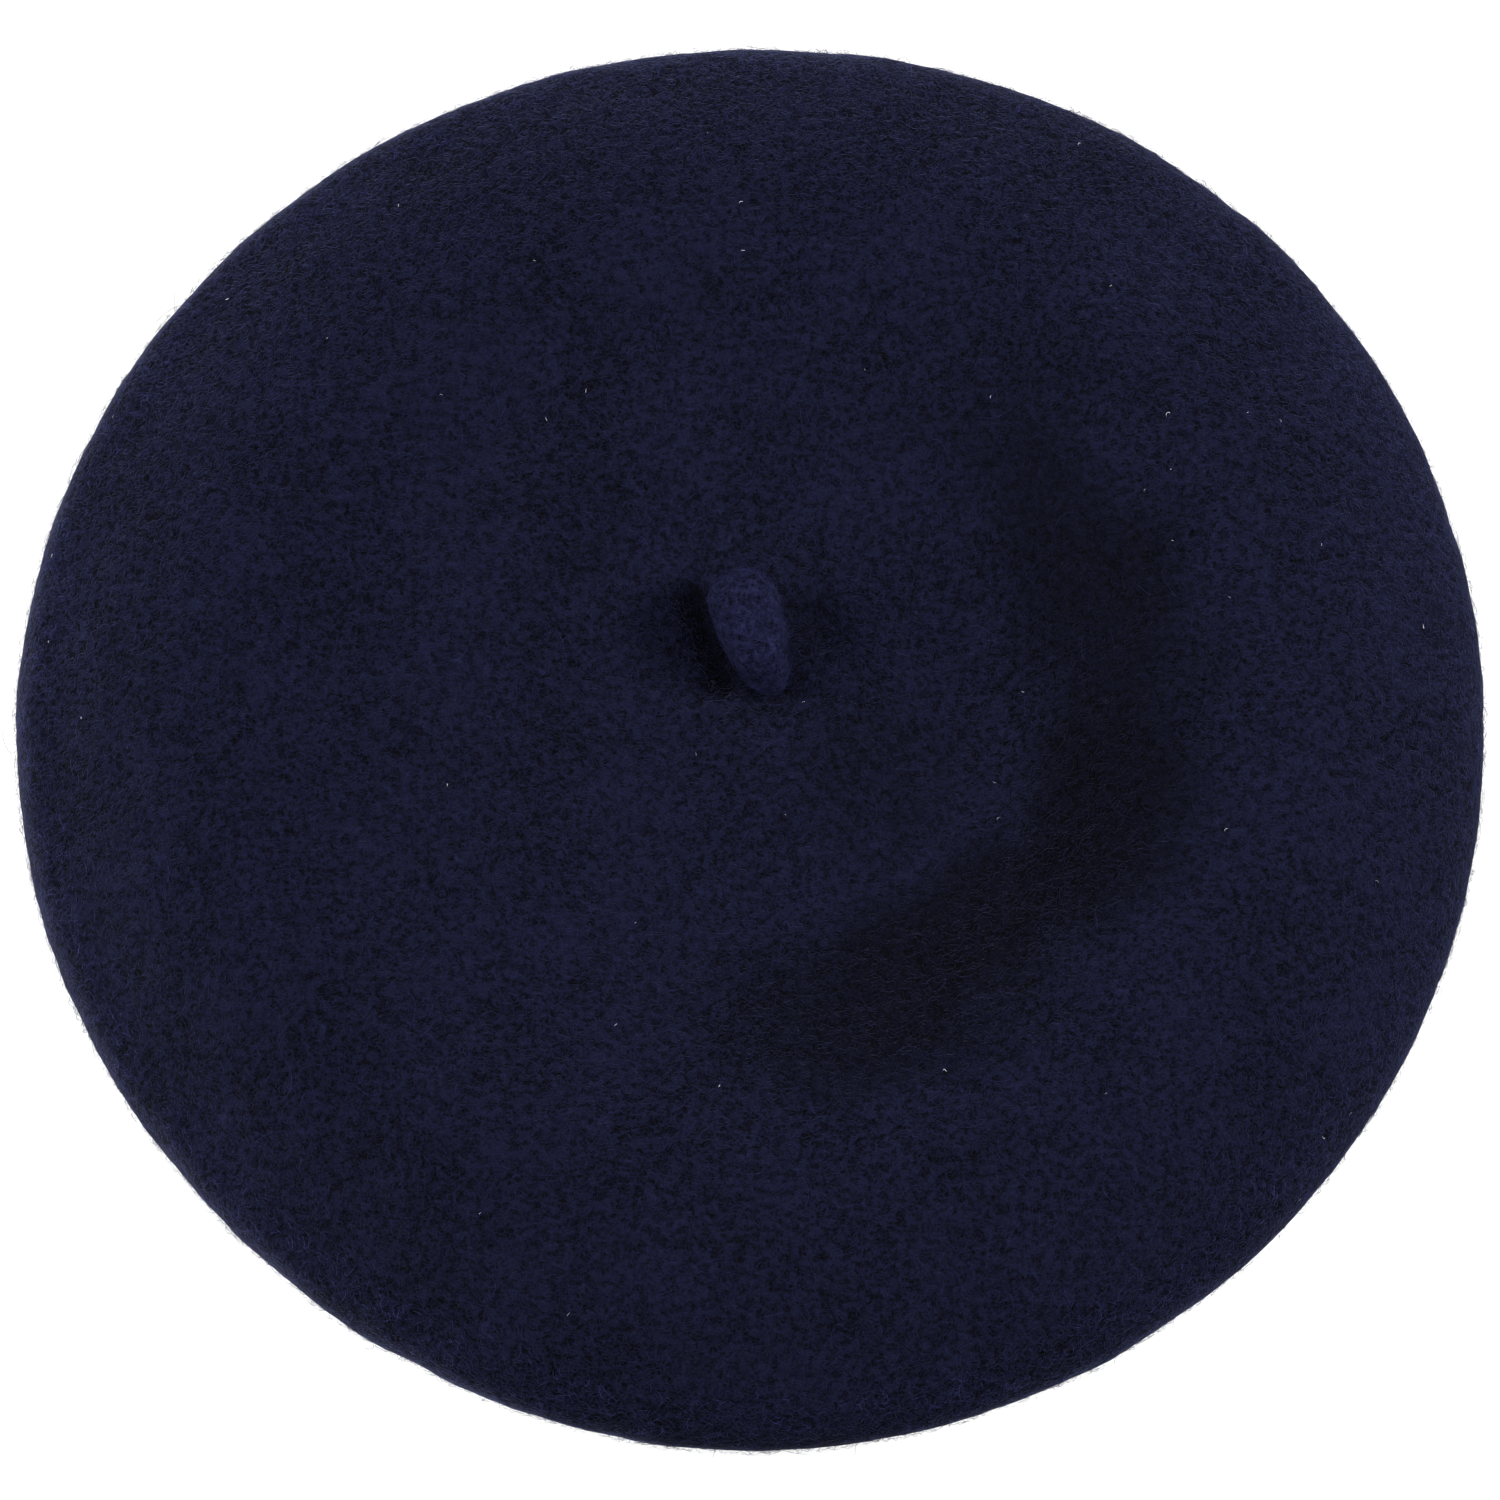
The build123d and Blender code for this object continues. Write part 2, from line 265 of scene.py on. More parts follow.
class Nodes:
    """Adds shader nodes to one material and links them."""

    def __init__(self, name):
        self.material = bpy.data.materials.new(name)
        self.material.use_nodes = True
        self.tree = self.material.node_tree
        self.shader = self.tree.nodes["Principled BSDF"]
        self.place = self.add("ShaderNodeTexCoord").outputs["Object"]

    def add(self, kind, **settings):
        """A new node of this kind."""
        node = self.tree.nodes.new(kind)
        for key, value in settings.items():
            setattr(node, key, value)
        return node

    def link(self, source, target):
        self.tree.links.new(source, target)

    def put(self, socket, value):
        """Links an output to a socket, or sets a constant on it."""
        if isinstance(value, bpy.types.NodeSocket):
            self.link(value, socket)
        else:
            socket.default_value = value

    def noise(self, size, detail=2.0, roughness=0.5, distortion=0.0, offset=0.0):
        """Noise whose features are about size metres across."""
        mapping = self.add("ShaderNodeMapping")
        self.link(self.place, mapping.inputs["Vector"])
        mapping.inputs["Location"].default_value = (offset, offset * 0.7, offset * 1.3)
        texture = self.add("ShaderNodeTexNoise")
        self.link(mapping.outputs[0], texture.inputs["Vector"])
        texture.inputs["Scale"].default_value = 1 / size
        texture.inputs["Detail"].default_value = detail
        texture.inputs["Roughness"].default_value = roughness
        texture.inputs["Distortion"].default_value = distortion
        return texture.outputs[0]

    def math(self, operation, first, second=0.0, clamp=False):
        """One sum of two values, each an output or a constant."""
        node = self.add("ShaderNodeMath", operation=operation, use_clamp=clamp)
        self.put(node.inputs[0], first)
        self.put(node.inputs[1], second)
        return node.outputs[0]

    def map(self, value, low, high, to_low=0.0, to_high=1.0):
        """Stretches value from low..high to to_low..to_high, clamped and smooth."""
        node = self.add("ShaderNodeMapRange", interpolation_type="SMOOTHSTEP")
        self.put(node.inputs[0], value)
        for socket, number in zip(node.inputs[1:5], (low, high, to_low, to_high)):
            socket.default_value = number
        return node.outputs[0]

    def mix(self, factor, first, second):
        """The first colour where factor is 0, the second where it is 1."""
        node = self.add("ShaderNodeMix", data_type="RGBA")
        self.put(node.inputs[0], factor)
        self.put(node.inputs[6], first)
        self.put(node.inputs[7], second)
        return node.outputs[2]

    def bump(self, height, distance, strength=1.0):
        """A normal tilted by a height field that is distance metres deep."""
        node = self.add("ShaderNodeBump")
        self.put(node.inputs["Height"], height)
        node.inputs["Distance"].default_value = distance
        node.inputs["Strength"].default_value = strength
        return node.outputs[0]

    def threads(self, size, width, offset, distortion=1.2):
        """Thin curly lines, 1 on a line and 0 off it: where a noise field crosses its middle."""
        away = self.math("SUBTRACT", self.noise(size, 0, 0.5, distortion, offset), 0.5)
        crossing = self.math("ABSOLUTE", away)
        return self.map(crossing, 0.0, width, 1.0, 0.0)

    def painted_shade(self):
        """Painted shade: how much darker the felt is painted in an arc over the sag's steep side, towards +X,
        and in the dents round the stalk.
        """
        shift = self.add("ShaderNodeVectorMath", operation="SUBTRACT")
        self.link(self.place, shift.inputs[0])
        shift.inputs[1].default_value = (*PAINTED_SHADE_CENTRE, 0)
        flat = self.add("ShaderNodeVectorMath", operation="MULTIPLY")
        self.link(shift.outputs[0], flat.inputs[0])
        flat.inputs[1].default_value = (1, 1, 0)
        away = self.add("ShaderNodeVectorMath", operation="LENGTH")
        self.link(flat.outputs[0], away.inputs[0])
        uneven = self.map(self.noise(30 * MM, 2, 0.5, 0.0, 1.7), 0.3, 0.7, -PAINTED_SHADE_UNEVEN, PAINTED_SHADE_UNEVEN)
        distance = self.math("ADD", away.outputs["Value"], uneven)
        arc = self.math("MULTIPLY", self.map(distance, *PAINTED_SHADE_INSIDE), self.map(distance, *PAINTED_SHADE_OUTSIDE, 1.0, 0.0))
        lighter = 1.0
        for towards, fade_from, fade_to, share in PAINTED_SHADE_ARCS:
            direction = (math.cos(math.radians(towards)), math.sin(math.radians(towards)), 0)
            facing = self.math("DIVIDE", self.dot(flat.outputs[0], direction),
                               self.math("ADD", away.outputs["Value"], 1 * MM))
            shade = self.math("MULTIPLY", arc, self.map(facing, fade_from, fade_to, 0.0, share))
            lighter = self.math("MULTIPLY", lighter, self.math("SUBTRACT", 1.0, shade))
        darker = self.math("SUBTRACT", 1.0, lighter)
        for along, beside, length, width, _, share in DENTS:
            darker = self.math("MAXIMUM", darker, self.painted_dent_shade(along, beside, length, width, share))
        return darker

    def dot(self, vector, direction):
        """How far the vector reaches in this direction."""
        node = self.add("ShaderNodeVectorMath", operation="DOT_PRODUCT")
        self.link(vector, node.inputs[0])
        node.inputs[1].default_value = direction
        return node.outputs["Value"]

    def painted_dent_shade(self, along, beside, length, width, darker):
        """Painted shade: up to darker inside one of the dents, and 0 outside it."""
        origin = self.add("ShaderNodeVectorMath", operation="SUBTRACT")
        self.link(self.place, origin.inputs[0])
        origin.inputs[1].default_value = ROOT
        forward = self.math("SUBTRACT", self.dot(origin.outputs[0], LEAN), along)
        sideways = self.math("SUBTRACT", self.dot(origin.outputs[0], THREAD_AXIS), beside)
        past = self.math("MAXIMUM", self.math("SUBTRACT", self.math("ABSOLUTE", forward), length / 2), 0)
        away = self.math("SQRT", self.math("ADD", self.math("POWER", past, 2), self.math("POWER", sideways, 2)))
        return self.map(away, 0.35 * width, 1.5 * width, darker, 0.0)

    def finish(self, colour, roughness, normal=None, specular=0.5, sheen=0.0, sheen_roughness=0.5,
               sheen_tint=(1, 1, 1, 1)):
        """Links everything to the shader and gives back the material."""
        self.put(self.shader.inputs["Base Color"], colour)
        self.put(self.shader.inputs["Roughness"], roughness)
        self.shader.inputs["Specular IOR Level"].default_value = specular
        self.shader.inputs["Sheen Weight"].default_value = sheen
        self.shader.inputs["Sheen Roughness"].default_value = sheen_roughness
        self.shader.inputs["Sheen Tint"].default_value = sheen_tint
        if normal is not None:
            self.link(normal, self.shader.inputs["Normal"])
        return self.material


CLUMP, GRAIN, PATCH = 1.5 * MM, 0.5 * MM, 22 * MM  # sizes of the felt's unevenness
FELT_RELIEF = 0.55 * MM
FELT_SPECULAR, HAIR_SPECULAR = 0.055, 0.035
SHEEN_ROUGHNESS = 0.26
SHEEN_TINT = (0.42, 0.48, 1.0, 1)


def felt_material(name, dark, light, hair, sheen, painted_shade=False):
    """Fulled wool: clumps about a millimetre across, a mat of curly fibres, a soft sheen, and, where asked,
    painted shade.
    """
    n = Nodes(name)
    clumps = n.noise(CLUMP, 3, 0.6, 0.4)
    grain = n.noise(GRAIN, 2, 0.6, 0.0, 0.31)
    patches = n.noise(PATCH, 2, 0.5, 0.0, 0.77)
    fibres = n.math("MAXIMUM", n.threads(2.6 * MM, 0.022, 0.13), n.threads(1.7 * MM, 0.028, 0.47))
    fine = n.threads(1.0 * MM, 0.05, 0.91)
    tone = n.math("ADD", n.map(clumps, 0.36, 0.65, 0.0, 0.54), n.map(grain, 0.36, 0.65, 0.0, 0.37))
    tone = n.math("ADD", tone, n.map(patches, 0.3, 0.7, -0.07, 0.07))
    tone = n.math("ADD", tone, n.math("MULTIPLY", fine, 0.12), clamp=True)
    colour = n.mix(tone, dark, light)
    colour = n.mix(n.math("MULTIPLY", fibres, 0.34), colour, hair)
    # painted shade over the sag's steep side and in the dents round the stalk
    if painted_shade:
        colour = n.mix(n.painted_shade(), colour, PAINTED_SHADE_COLOUR)
    height = n.math("ADD", n.math("MULTIPLY", clumps, 0.9), n.math("MULTIPLY", grain, 0.35))
    height = n.math("ADD", height, n.math("MULTIPLY", fibres, 0.16))
    return n.finish(colour, 1.0, n.bump(height, FELT_RELIEF), FELT_SPECULAR, sheen, SHEEN_ROUGHNESS, SHEEN_TINT)


def leather_material(name):
    """Smooth dark hatter's leather: fine pebbles, faint creases, a satin surface."""
    n = Nodes(name)
    cells = n.add("ShaderNodeTexVoronoi", feature="F1")
    n.link(n.place, cells.inputs["Vector"])
    cells.inputs["Scale"].default_value = 1 / (0.7 * MM)
    pebbles = cells.outputs["Distance"]
    creases = n.threads(6 * MM, 0.02, 0.21, 2.0)
    wear = n.noise(18 * MM, 3, 0.6)
    colour = n.mix(n.map(wear, 0.35, 0.7), (0.020, 0.013, 0.009, 1), (0.038, 0.025, 0.017, 1))
    colour = n.mix(n.math("MULTIPLY", creases, 0.25), colour, (0.010, 0.007, 0.005, 1))
    height = n.math("SUBTRACT", n.math("MULTIPLY", pebbles, 0.5), n.math("MULTIPLY", creases, 0.25))
    roughness = n.map(wear, 0.3, 0.7, 0.42, 0.58)
    return n.finish(colour, roughness, n.bump(height, 0.15 * MM, 0.6), 0.45)


def woven_material(name, dark, light, pitch, across, roughness=0.8, sheen=0.2):
    """Woven tape or ribbon: fine ribs at this pitch along one axis, crossed by finer threads."""
    n = Nodes(name)
    ribs = n.add("ShaderNodeTexWave", wave_type="BANDS", bands_direction=across)
    n.link(n.place, ribs.inputs["Vector"])
    ribs.inputs["Scale"].default_value = 0.314 / pitch
    ribs.inputs["Distortion"].default_value = 0.6
    ribs.inputs["Detail"].default_value = 1
    weave = n.noise(pitch * 0.6, 2, 0.6)
    tone = n.math("ADD", n.math("MULTIPLY", ribs.outputs[1], 0.6), n.map(weave, 0.3, 0.7, 0.0, 0.4))
    normal = n.bump(tone, 0.15 * MM, 0.6)
    return n.finish(n.mix(tone, dark, light), roughness, normal, 0.3, sheen)


def thread_material(name, dark, light, roughness=0.6):
    """Twisted sewing thread."""
    n = Nodes(name)
    twist = n.noise(0.25 * MM, 1, 0.5, 0.5)
    return n.finish(n.mix(n.map(twist, 0.3, 0.7), dark, light), roughness, n.bump(twist, 0.06 * MM), 0.4, 0.3)


def hair_material(name, dark, light, painted_shade=False):
    """Dyed wool hair: matt, and not all of one shade."""
    n = Nodes(name)
    colour = n.mix(n.map(n.noise(3 * MM, 2, 0.6), 0.3, 0.7), dark, light)
    # the same painted shade as on the felt under these hairs
    if painted_shade:
        colour = n.mix(n.painted_shade(), colour, PAINTED_SHADE_COLOUR)
    return n.finish(colour, 0.9, None, HAIR_SPECULAR)


# ---------------------------------------------------------------- felt body

# How far the sag of the crown differs from its mean round the beret: deep at +X, shallow at -X
SAG_DEEPER = 3.2 * MM
SAG_SHALLOWER = 3.8 * MM
# The circle is a little uneven: (bulges, depth, direction of the first)
WOBBLES = ((1, 0.5 * MM, 0), (2, 1.0 * MM, 4), (3, 0.9 * MM, 40.5), (5, 0.2 * MM, 44))
WOBBLE_INWARD = 1.0 * MM  # keeps the uneven circle inside the CAD's
LEFT_SLOPE = 2.4 * MM  # how much lower the crown's shoulder is towards -X
AROUND = 360  # points in each ring of the felt
# The felt's lumps, only ever along its normal: (depth in millimetres, wavelength, seed, waves)
LUMPS = ((0.16, 34 * MM, 3, 28), (0.09, 11 * MM, 4, 28), (0.06, 4.5 * MM, 5, 40))


def felt_profile():
    """The outer face's section from the crown's middle to the hem: (radius, height) points."""
    crown = spline(
        [(0, CROWN_HEIGHT), (SAG_RADIUS, CROWN_HEIGHT + 0.4 * MM), (RIDGE_RADIUS, RIDGE_HEIGHT - 0.1 * MM),
         SHOULDER, (OUTER, RIM_HEIGHT)],
        (1, 0), (0, -1), 130,
    )
    turn = np.linspace(0, -math.pi / 2, 26)[1:]
    rim_radius = FLAT_RADIUS + (OUTER - FLAT_RADIUS) * np.cos(turn)
    rim = np.stack([rim_radius, RIM_HEIGHT + RIM_HEIGHT * np.sin(turn)], 1)
    flat = np.stack([np.linspace(FLAT_RADIUS, OPENING, 22)[1:], np.zeros(21)], 1)
    return np.concatenate([crown[1:], rim, flat])


def shape_felt(radius, height, azimuth):
    """Where a point of the plain section goes on the real, uneven body."""
    toward = 0.5 + 0.5 * np.cos(azimuth - SAG_TOWARDS)
    sag = SAG_DEEPER * toward**2 - SAG_SHALLOWER * (1 - toward) ** 1.5
    inside = step(radius, 8 * MM, 50 * MM) * (1 - step(radius, 50 * MM, 80 * MM))
    top = step(height, 9 * MM, 20 * MM)
    wobble = sum(depth * np.cos(n * (azimuth - math.radians(first))) for n, depth, first in WOBBLES)
    outward = step(radius, RIDGE_RADIUS, OUTER) * (wobble - WOBBLE_INWARD)
    x = (radius + outward) * np.cos(azimuth)
    y = (radius + outward) * np.sin(azimuth)
    z = height - sag * inside * top
    left = 0.5 - 0.5 * np.cos(azimuth)
    slope = left**1.5 * step(radius, RIDGE_RADIUS - 34 * MM, SHOULDER[0])
    z = z - LEFT_SLOPE * slope * step(height, 18 * MM, 26 * MM)
    for along, beside, length, width, depth, _ in DENTS:
        forward = (x - ROOT.x) * LEAN.x + (y - ROOT.y) * LEAN.y - along
        sideways = (x - ROOT.x) * THREAD_AXIS.x + (y - ROOT.y) * THREAD_AXIS.y - beside
        past = np.maximum(np.abs(forward) - length / 2, 0)
        z = z - depth * np.exp(-(past / width) ** 2 - (sideways / width) ** 2) * top
    return np.stack([x, y, z], -1)


def felt_grid():
    """The felt's outer face as a grid (section, around, 3), and its normals."""
    section = felt_profile()
    azimuth = np.arange(AROUND) * TURN / AROUND
    radius, turn = np.meshgrid(section[:, 0], azimuth, indexing="ij")
    height = np.meshgrid(section[:, 1], azimuth, indexing="ij")[0]
    grid = shape_felt(radius, height, turn)
    down = np.gradient(grid, axis=0)
    around = (np.roll(grid, -1, 1) - np.roll(grid, 1, 1)) / 2
    normal = np.cross(around, down)
    normal /= np.linalg.norm(normal, axis=2, keepdims=True)
    if normal[0, 0, 2] < 0:
        normal = -normal
    loose = step(np.hypot(grid[..., 0], grid[..., 1]), OPENING, OPENING + 6 * MM)
    loose = np.maximum(loose, step(grid[..., 2], 6 * MM, 12 * MM))
    free = loose * (0.3 + 0.7 * step(grid[..., 2], 2 * MM, 9 * MM))
    bumps = sum(depth * field(grid, wavelength, seed, waves) for depth, wavelength, seed, waves in LUMPS)
    grid = grid + normal * (bumps * free * MM)[..., None]
    grid[..., 2] = np.maximum(grid[..., 2], 0.0)
    return grid, normal


def felt_body(material):
    """The one-piece felt shell: its outer face, the hem and its inner face."""
    grid, normal = felt_grid()
    inside = (grid - normal * FELT)[::-3]
    hem = (grid[-1] - normal[-1] * FELT / 2) - 0.5 * MM * grid[-1] / np.linalg.norm(grid[-1], axis=1)[:, None]
    rows = np.concatenate([grid, hem[None], inside])
    count = len(rows)
    centre_top = shape_felt(np.zeros(1), np.full(1, CROWN_HEIGHT), np.zeros(1))[0]
    centre_under = centre_top - np.array([0, 0, FELT])
    vertices = np.concatenate([rows.reshape(-1, 3), [centre_top, centre_under]])
    faces = list(grid_faces(count, AROUND, False, True))
    top, under = count * AROUND, count * AROUND + 1
    last = (count - 1) * AROUND
    for k in range(AROUND):
        faces.append((top, (k + 1) % AROUND, k))
        faces.append((under, last + k, last + (k + 1) % AROUND))
    body = mesh_object("beret_felt", vertices, faces)
    body.data.materials.append(material)
    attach(body, "hat")
    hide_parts("felt_body")


# ---------------------------------------------------------------- stalk

def stalk_middle(distance):
    """The stalk's middle line: straight, but drawn down into the crown at its root."""
    middle = ROOT + STALK_AXIS * distance
    middle.z -= STALK_SINK * float(1 - step(distance, -2 * MM, 9 * MM))
    return np.array(middle)


def stalk_radius(distance):
    cap = STALK_LENGTH - STALK_BODY
    root_end, full = STALK_ROOT
    t = np.clip(distance / STALK_BODY, 0, 1)
    radius = STALK_THIN + (STALK_THICK - STALK_THIN) * (1 - (1 - t) ** 2.4)
    radius = radius * np.sqrt(1 - (np.clip(distance - STALK_BODY, 0, cap) / cap) ** 2.2)
    return radius * np.sqrt(1 - 0.97 * (np.clip(full - distance, 0, None) / (full - root_end)) ** 2)


def stalk_rings():
    """The stalk's skin as rings from its root to its tip, and the directions out of them."""
    cap = STALK_LENGTH - STALK_BODY
    along = np.concatenate([np.linspace(STALK_ROOT[0], STALK_BODY, 54),
                            np.sin(np.linspace(0, math.pi / 2, 18)[1:]) * 0.995 * cap + STALK_BODY])
    radius = stalk_radius(along)
    turn = np.arange(56) * TURN / 56
    circle = np.outer(np.cos(turn), THREAD_AXIS) + 0.94 * np.outer(np.sin(turn), STALK_UP)
    rings = np.array([stalk_middle(distance) + size * circle for distance, size in zip(along, radius)])
    outward = rings - rings.mean(1, keepdims=True)
    outward += np.array(STALK_AXIS) * np.gradient(-radius, along)[:, None, None] * 4 * MM
    outward /= np.linalg.norm(outward, axis=2, keepdims=True) + 1e-9
    lumps = 0.26 * field(rings, 7 * MM, 11) + 0.12 * field(rings, 2.6 * MM, 12, 40)
    return rings + outward * lumps[..., None] * MM, outward


def bend_with_stalk(made):
    """Bakes the piece's place into its mesh; it is not attached to the hat or the stalk."""
    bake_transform(made)


def stalk_mesh(material):
    """The felt stalk: a rolled teardrop, narrow where it is sewn down and round at its tip."""
    stalk = loft("stalk_felt_painted_lighter", stalk_rings()[0])
    stalk.data.materials.append(material)
    bend_with_stalk(stalk)
    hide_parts("stalk")


# ---------------------------------------------------------------- loose wool

def on_felt(grid, normal, share):
    """Picks random places on the felt's outer face, even by area. share(radius, height) weighs each row."""
    radius = np.hypot(grid[..., 0], grid[..., 1]).mean(1)
    steps = np.linalg.norm(np.diff(grid, axis=0), axis=2).mean(1)
    weight = radius[:-1] * steps * share(radius[:-1], grid[:-1, :, 2].mean(1))
    weight /= weight.sum()

    def pick(count, rng):
        row = rng.choice(len(weight), count, p=weight)
        column = rng.integers(0, AROUND, count)
        s, t = rng.random(count)[:, None], rng.random(count)[:, None]
        across = (column + 1) % AROUND

        def between(values):
            low = values[row, column] * (1 - t) + values[row, across] * t
            high = values[row + 1, column] * (1 - t) + values[row + 1, across] * t
            return low * (1 - s) + high * s

        n = between(normal)
        return between(grid), n / np.linalg.norm(n, axis=1)[:, None]

    return pick


def curly_hairs(points, normals, rng, length, lift, curl, thick, steps=6):
    """Curly hairs lying on a face: each starts in it, wanders along it, and ends a little above it."""
    count = len(points)
    across = np.cross(normals, rng.normal(size=(count, 3)))
    across /= np.linalg.norm(across, axis=1)[:, None]
    other = np.cross(normals, across)
    size = rng.uniform(*length, count)
    bend = rng.normal(0, curl, count)
    wave = rng.uniform(0.2, 0.9, count) * size * 0.16
    phase = rng.uniform(0, TURN, count)
    rise = rng.uniform(*lift, count)
    paths = np.zeros((count, steps, 3))
    for k, t in enumerate(np.linspace(0, 1, steps)):
        angle = bend * t
        along = size * t * np.cos(angle * 0.5)
        aside = size * t * np.sin(angle * 0.5) + wave * np.sin(phase + 5 * t)
        above = rise * np.sin(math.pi * min(1, t * 1.1) * 0.9) - 0.05 * MM * (1 - t)
        paths[:, k] = points + across * along[:, None] + other * aside[:, None] + normals * above[:, None]
    taper = np.sin(np.linspace(0.25, 0.9, steps) * math.pi)
    radii = rng.uniform(*thick, count)[:, None] * taper[None]
    return paths, radii


def hair_piece(name, paths, radii, material, body, sides=3):
    """One piece made of many hairs. None reaches more than a little below the table's top."""
    paths[..., 2] = np.maximum(paths[..., 2], -0.12 * MM)
    made = tubes(name, paths, radii, sides)
    made.data.materials.append(material)
    if body == "stalk":
        bend_with_stalk(made)
    else:
        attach(made, body)


# The kinds of hair: their length, how high they rise, how much they curl, their radius, and for the
# long ones how many points each has
MAT_HAIR = ((1.2 * MM, 4.5 * MM), (0.03 * MM, 0.22 * MM), 2.6, (0.022 * MM, 0.042 * MM))
LONG_HAIR = ((4 * MM, 10 * MM), (0.2 * MM, 0.6 * MM), 2.2, (0.028 * MM, 0.042 * MM), 9)
RIM_HAIR = ((1.0 * MM, 3.2 * MM), (0.25 * MM, 0.95 * MM), 2.4, (0.018 * MM, 0.036 * MM))
LINT = ((0.3 * MM, 1.0 * MM), (0.1 * MM, 0.25 * MM), 2.5, (0.04 * MM, 0.09 * MM))
STALK_HAIR = ((0.8 * MM, 3.0 * MM), (0.03 * MM, 0.45 * MM), 2.8, (0.016 * MM, 0.030 * MM))
MOST_HAIRS = 8000  # in one piece
LONG_HAIRS, LINT_SPECKS, STALK_HAIRS = 500, 60, 2600
RIM_FROM = 131 * MM  # the radius from which the rim has its fuzz


def loose_wool(material, rim_highlight, stalk, pale):
    """Hairs that stand out of the felt: a mat over its faces, a fuzz round the rim in a lighter wool that
    paints a highlight there, and a few pale specks.
    """
    grid, normal = felt_grid()
    rng = np.random.default_rng(41)
    anywhere = on_felt(grid, normal, lambda radius, z: (z > 6 * MM) * 1.0 + (z <= 6 * MM) * 0.3)
    rim = on_felt(grid, normal, lambda radius, z: ((radius > RIM_FROM) & (z > 0.5 * MM)) * 1.0)
    pieces = [(f"felt_hairs_{number}", anywhere, MOST_HAIRS, MAT_HAIR, material) for number in (1, 2, 3)]
    pieces += [
        ("felt_long_hairs", anywhere, LONG_HAIRS, LONG_HAIR, stalk),
        ("rim_fuzz", rim, MOST_HAIRS, RIM_HAIR, rim_highlight),
        ("pale_lint", anywhere, LINT_SPECKS, LINT, pale),
    ]
    for name, place, count, kind, look in pieces:
        points, normals = place(count, rng)
        hair_piece(name, *curly_hairs(points, normals, rng, *kind), look, "hat")
    rings, outward = stalk_rings()
    row = rng.integers(3, len(rings) - 2, STALK_HAIRS)
    column = rng.integers(0, rings.shape[1], STALK_HAIRS)
    paths, radii = curly_hairs(rings[row, column], outward[row, column], rng, *STALK_HAIR)
    hair_piece("stalk_hairs", paths, radii, stalk, "stalk")


# ---------------------------------------------------------------- sweatband and its stitches

SEAM_STITCHES = 120
SEAM_PITCH = TURN / SEAM_STITCHES
THREAD = 0.27 * MM
BAND_INNER = BAND_OUTER - 2.85 * MM
LEATHER = 0.9 * MM
CHANNEL = 1.95 * MM  # between the middles of the channel's two walls
CHANNEL_TOP = 11.5 * MM
JOIN_HALF = 0.6 * MM  # half the gap between the band's two ends


def around_z(radius, azimuth, height):
    """Points at this radius, azimuth and height, broadcast against each other."""
    radius, azimuth, height = np.broadcast_arrays(radius, azimuth, height)
    return np.stack([radius * np.cos(azimuth), radius * np.sin(azimuth), height], -1)


def band_section():
    """The middle line of the band's J-shaped section, from its top edge round the channel: (outwards, up)."""
    turn = np.linspace(math.pi, TURN, 13)
    low = BAND_LOW.z + LEATHER / 2 + CHANNEL / 2
    down = np.stack([np.zeros(22), np.linspace(BAND_HIGH.z, low, 22)], 1)[:-1]
    bend = np.stack([CHANNEL / 2 + CHANNEL / 2 * np.cos(turn), low + CHANNEL / 2 * np.sin(turn)], 1)
    up = np.stack([np.full(8, CHANNEL), np.linspace(low, CHANNEL_TOP, 9)[1:]], 1)
    return np.concatenate([down, bend, up])


def sweatband(material):
    """The leather band: turned up at its lower edge, its ends apart at the back, and a little wavy."""
    line = band_section()
    along = np.gradient(line, axis=0)
    along /= np.linalg.norm(along, axis=1)[:, None]
    side = np.stack([-along[:, 1], along[:, 0]], 1)
    near, far = line + side * LEATHER / 2, line - side * LEATHER / 2
    near[0, 1] = far[0, 1] = BAND_HIGH.z - 0.25 * MM
    top = np.array([[line[0, 0], BAND_HIGH.z]])
    end = np.array([[line[-1, 0], CHANNEL_TOP + 0.2 * MM]])
    section = np.concatenate([near, end, far[::-1], top])
    half_gap = JOIN_HALF / BAND_INNER
    azimuth = math.pi / 2 + np.linspace(half_gap, TURN - half_gap, 480)
    middle_radius = BAND_INNER + LEATHER / 2
    out, turn = np.meshgrid(section[:, 0], azimuth)
    up = np.meshgrid(section[:, 1], azimuth)[0]
    flat = around_z(middle_radius + out, turn, up)
    free = step(up, CHANNEL_TOP, BAND_HIGH.z)
    inner = out < 0.6 * CHANNEL
    radius = middle_radius + out + inner * free * (0.25 * MM * field(flat, 60 * MM, 21) + 0.1 * MM)
    height = up - step(up, 20 * MM, BAND_HIGH.z) * inner * np.abs(0.35 * MM * field(flat, 45 * MM, 22))
    band = loft("sweatband_leather", around_z(radius, turn, height))
    band.data.set_sharp_from_angle(angle=math.radians(60))
    band.data.materials.append(material)
    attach(band, "hat")
    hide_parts("sweatband")


def seam(name, height, seed, material):
    """A row of stitches round the band's inner face, each arched over the leather."""
    rng = np.random.default_rng(seed)
    t = np.linspace(-1, 1, 9)
    centre = (np.arange(SEAM_STITCHES) + 0.5) * SEAM_PITCH + rng.normal(0, 0.0006, SEAM_STITCHES)
    half = rng.uniform(1.55, 1.72, SEAM_STITCHES) * MM / BAND_INNER
    slant = rng.normal(0, 0.07, SEAM_STITCHES) * MM
    radius = BAND_INNER + 0.28 * MM - 0.52 * MM * (1 - np.abs(t) ** 4)
    paths = around_z(radius[None], centre[:, None] + half[:, None] * t, height + slant[:, None] * t)
    thick = np.full(paths.shape[:2], THREAD)
    stitches(name, paths, thick, material, name)


def stitches(name, paths, radii, material, node, body="hat"):
    """A row of separate stitches that stands in for a CAD node."""
    made = tubes(name + "_thread", paths, radii, 8)
    made.data.materials.append(material)
    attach(made, body)
    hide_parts(node)


